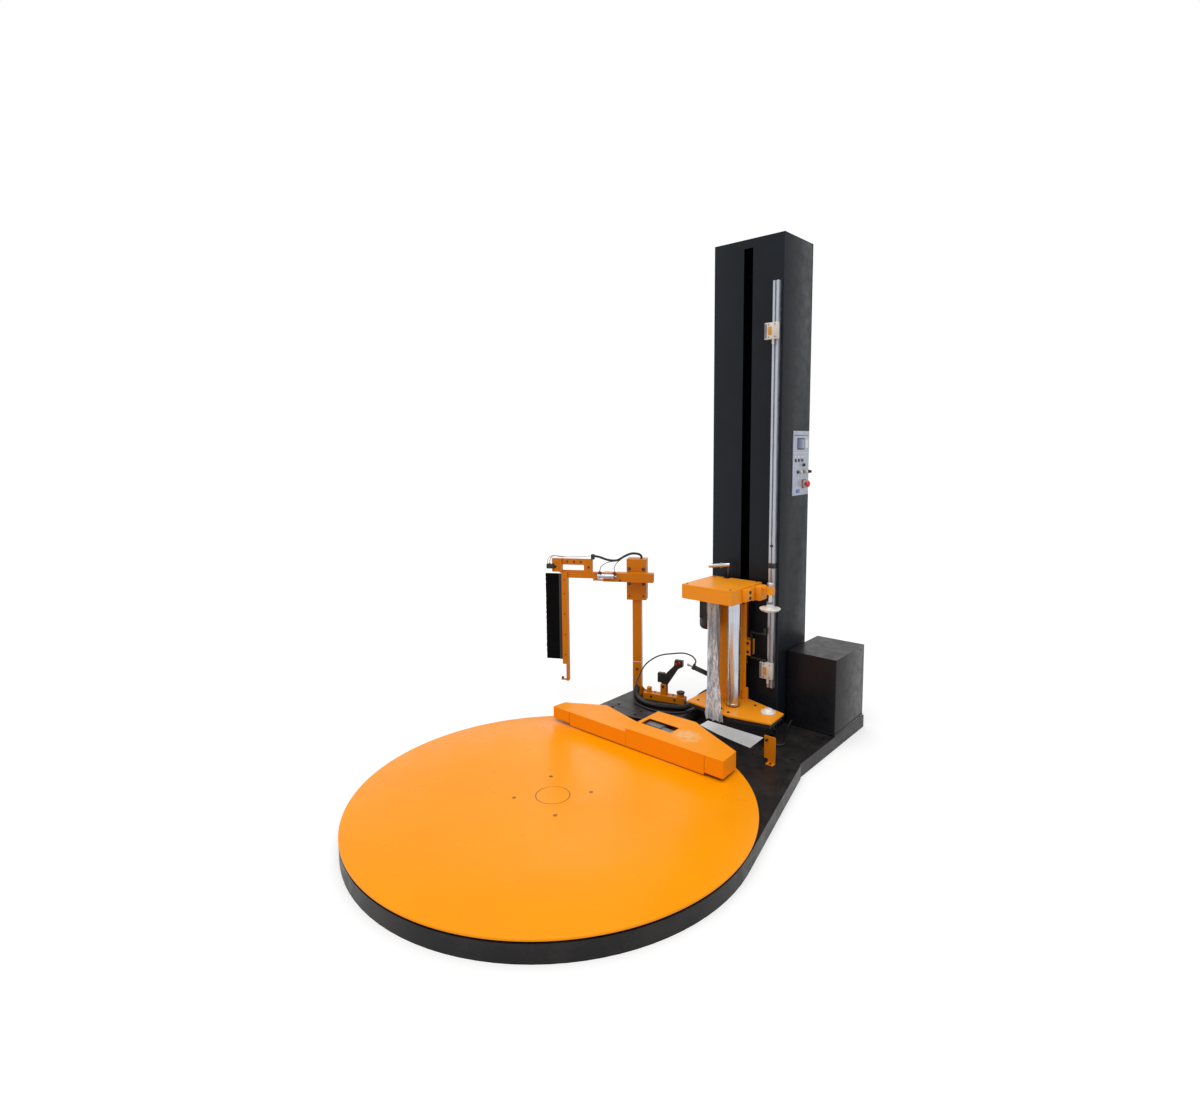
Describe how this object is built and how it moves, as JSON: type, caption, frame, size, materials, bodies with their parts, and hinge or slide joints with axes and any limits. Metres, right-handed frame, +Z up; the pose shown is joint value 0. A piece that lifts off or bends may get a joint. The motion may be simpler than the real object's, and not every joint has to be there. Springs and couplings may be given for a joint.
{
  "type": "turntable pallet wrapper",
  "caption": "Turntable pallet stretch wrapper: orange disc on a low black base, tall slotted mast with a film carriage, wiper arm, film clamp and side control panel.",
  "frame": {"origin": "on the floor, under the turntable's axis", "axes": "+Z up, +Y from the turntable to the mast, +X to the side with the control panel and cabinet"},
  "size_m": [1.7354, 2.511, 2.5],
  "materials": {
    "orange_paint": "semi-gloss orange enamel",
    "black_paint": "gloss black enamel",
    "mast_paint": "semi-gloss blue-black enamel",
    "bare_steel": "machined, lightly oiled",
    "aluminium": "satin anodised",
    "black_plastic": "matt black",
    "white_plastic": "satin off-white",
    "red_plastic": "gloss red",
    "panel_grey": "satin blue-grey",
    "inverter_grey": "matt grey",
    "rubber": "matt black rubber",
    "film": "clear stretch film, gathered"
  },
  "bodies": {
    "machine": {"turntable_base": "black_paint", "mast_base": "black_paint", "mast_column": "mast_paint", "mast_rear_cover": "mast_paint", "mast_top_cap": "mast_paint", "lift_chain": "bare_steel", "lift_gearmotor": "bare_steel", "side_cabinet": "black_paint", "inverter_unit": "inverter_grey", "control_panel": "panel_grey", "limit_rail": "aluminium", "drive_cover": "orange_paint", "drive_cover_lid": "orange_paint", "drive_gearmotor": "bare_steel", "arm_post_stub": "orange_paint", "clamp_base": "orange_paint", "clamp_cylinder": "black_paint", "sensor_bracket": "orange_paint", "air_hose": "rubber", "clamp_wire": "black_plastic", "drive_lead": "black_plastic", "carriage_conduit": "black_plastic"},
    "turntable": {"turntable_disc": "orange_paint", "centre_cover": "orange_paint"},
    "drive_wheel": {"drive_wheel": "rubber"},
    "lift_sprocket_top": {"lift_sprocket_top": "bare_steel"},
    "lift_sprocket_bottom": {"lift_sprocket_bottom": "bare_steel"},
    "upper_limit_switch": {"upper_limit_switch": "white_plastic"},
    "lower_limit_switch": {"lower_limit_switch": "white_plastic"},
    "emergency_stop": {"emergency_stop": "red_plastic"},
    "start_button": {"start_button": "white_plastic"},
    "stop_button": {"stop_button": "white_plastic"},
    "speed_knob": {"speed_knob": "black_plastic"},
    "selector_switch": {"selector_switch": "black_plastic"},
    "carriage": {"carriage_housing": "orange_paint", "carriage_frame": "orange_paint", "bottom_bumper": "rubber", "carriage_motor": "black_paint", "core_holder": "orange_paint", "lift_trolley": "orange_paint", "limit_trigger": "black_plastic", "film_tail": "film", "film_sensor": "aluminium"},
    "prestretch_roller_drive": {"prestretch_roller_drive": "aluminium"},
    "prestretch_roller_follow": {"prestretch_roller_follow": "aluminium"},
    "core_seat": {"core_seat": "white_plastic"},
    "core_plunger": {"core_plunger": "bare_steel"},
    "core_cone": {"core_cone": "white_plastic"},
    "swing_arm": {"arm_post": "orange_paint", "arm_cross_tube": "orange_paint", "wiper_actuator": "aluminium", "arm_loom": "black_plastic"},
    "wiper": {"wiper_frame": "orange_paint", "brush_strip": "black_plastic"},
    "clamp_lever": {"clamp_lever": "black_paint"},
    "support_wheel_1": {"support_wheel_1": "black_plastic"},
    "support_wheel_2": {"support_wheel_2": "black_plastic"},
    "support_wheel_3": {"support_wheel_3": "black_plastic"},
    "support_wheel_4": {"support_wheel_4": "black_plastic"},
    "support_wheel_5": {"support_wheel_5": "black_plastic"}
  },
  "joints": [
    {"name": "turntable_spin", "type": "hinge", "parent": "machine", "child": "turntable", "pos_m": [0, 0, 0.076], "axis": [0, 0, 1], "continuous": true},
    {"name": "support_wheel_1_spin", "type": "hinge", "parent": "machine", "child": "support_wheel_1", "pos_m": [0, 0.745, 0.0497], "axis": [0, 1, 0], "continuous": true},
    {"name": "support_wheel_2_spin", "type": "hinge", "parent": "machine", "child": "support_wheel_2", "pos_m": [-0.70854, 0.23022, 0.0497], "axis": [-0.9511, 0.309, 0], "continuous": true},
    {"name": "support_wheel_3_spin", "type": "hinge", "parent": "machine", "child": "support_wheel_3", "pos_m": [-0.4379, -0.60272, 0.0497], "axis": [-0.5878, -0.809, 0], "continuous": true},
    {"name": "support_wheel_4_spin", "type": "hinge", "parent": "machine", "child": "support_wheel_4", "pos_m": [0.4379, -0.60272, 0.0497], "axis": [0.5878, -0.809, 0], "continuous": true},
    {"name": "support_wheel_5_spin", "type": "hinge", "parent": "machine", "child": "support_wheel_5", "pos_m": [0.70854, 0.23022, 0.0497], "axis": [0.9511, 0.309, 0], "continuous": true},
    {"name": "drive_wheel_spin", "type": "hinge", "parent": "machine", "child": "drive_wheel", "pos_m": [0, 0.64, 0.1203], "axis": [0, 1, 0], "continuous": true},
    {"name": "carriage_lift", "type": "slide", "parent": "machine", "child": "carriage", "axis": [0, 0, 1], "range_m": [0, 1.41]},
    {"name": "lift_sprocket_top_spin", "type": "hinge", "parent": "machine", "child": "lift_sprocket_top", "pos_m": [0.168, 1.335, 2.35], "axis": [1, 0, 0], "range_deg": [-2400, 10]},
    {"name": "lift_sprocket_bottom_spin", "type": "hinge", "parent": "machine", "child": "lift_sprocket_bottom", "pos_m": [0.168, 1.335, 0.3], "axis": [1, 0, 0], "range_deg": [-2400, 10]},
    {"name": "upper_limit_set", "type": "slide", "parent": "machine", "child": "upper_limit_switch", "axis": [0, 0, 1], "range_m": [-0.9, 0.19]},
    {"name": "lower_limit_set", "type": "slide", "parent": "machine", "child": "lower_limit_switch", "axis": [0, 0, 1], "range_m": [-0.045, 0]},
    {"name": "emergency_stop_press", "type": "slide", "parent": "machine", "child": "emergency_stop", "axis": [-1, 0, 0], "range_m": [0, 0.005]},
    {"name": "start_button_press", "type": "slide", "parent": "machine", "child": "start_button", "axis": [-1, 0, 0], "range_m": [0, 0.003], "stiffness_N_per_m": 300},
    {"name": "stop_button_press", "type": "slide", "parent": "machine", "child": "stop_button", "axis": [-1, 0, 0], "range_m": [0, 0.003], "stiffness_N_per_m": 300},
    {"name": "speed_knob_turn", "type": "hinge", "parent": "machine", "child": "speed_knob", "pos_m": [0.37, 1.452, 1.394], "axis": [1, 0, 0], "range_deg": [-135, 135]},
    {"name": "selector_turn", "type": "hinge", "parent": "machine", "child": "selector_switch", "pos_m": [0.37, 1.508, 1.359], "axis": [1, 0, 0], "range_deg": [-45, 45]},
    {"name": "prestretch_drive_spin", "type": "hinge", "parent": "carriage", "child": "prestretch_roller_drive", "pos_m": [0.215, 1.05, 0.47], "axis": [0, 0, 1], "continuous": true},
    {"name": "prestretch_follow_spin", "type": "hinge", "parent": "carriage", "child": "prestretch_roller_follow", "pos_m": [0.098, 1.05, 0.47], "axis": [0, 0, 1], "continuous": true},
    {"name": "core_seat_spin", "type": "hinge", "parent": "carriage", "child": "core_seat", "pos_m": [0.394, 1.078, 0.21], "axis": [0, 0, 1], "continuous": true},
    {"name": "core_plunger_lift", "type": "slide", "parent": "carriage", "child": "core_plunger", "axis": [0, 0, 1], "range_m": [0, 0.034], "stiffness_N_per_m": 300, "springref_m": -0.02},
    {"name": "core_cone_spin", "type": "hinge", "parent": "core_plunger", "child": "core_cone", "pos_m": [0.394, 1.078, 0.72], "axis": [0, 0, 1], "continuous": true},
    {"name": "arm_swing", "type": "hinge", "parent": "machine", "child": "swing_arm", "pos_m": [-0.4805, 1.153, 0.2645], "axis": [0, 0, 1], "range_deg": [0, 50]},
    {"name": "wiper_swing", "type": "hinge", "parent": "swing_arm", "child": "wiper", "pos_m": [-0.6494, 0.98355, 0.763], "axis": [0, 0, 1], "range_deg": [-12, 12]},
    {"name": "clamp_swing", "type": "hinge", "parent": "machine", "child": "clamp_lever", "pos_m": [-0.3, 1.166, 0.15], "axis": [-0.2672, 0.9636, 0], "range_deg": [-60, 0]}
  ],
  "couplings": [
    {"joint": "support_wheel_1_spin", "follows": "turntable_spin", "ratio": -33.864},
    {"joint": "support_wheel_2_spin", "follows": "turntable_spin", "ratio": -33.864},
    {"joint": "support_wheel_3_spin", "follows": "turntable_spin", "ratio": -33.864},
    {"joint": "support_wheel_4_spin", "follows": "turntable_spin", "ratio": -33.864},
    {"joint": "support_wheel_5_spin", "follows": "turntable_spin", "ratio": -33.864},
    {"joint": "drive_wheel_spin", "follows": "turntable_spin", "ratio": 16},
    {"joint": "lift_sprocket_top_spin", "follows": "carriage_lift", "rad_per_m": -28.571},
    {"joint": "lift_sprocket_bottom_spin", "follows": "carriage_lift", "rad_per_m": -28.571},
    {"joint": "prestretch_follow_spin", "follows": "prestretch_drive_spin", "ratio": -1.25}
  ]
}
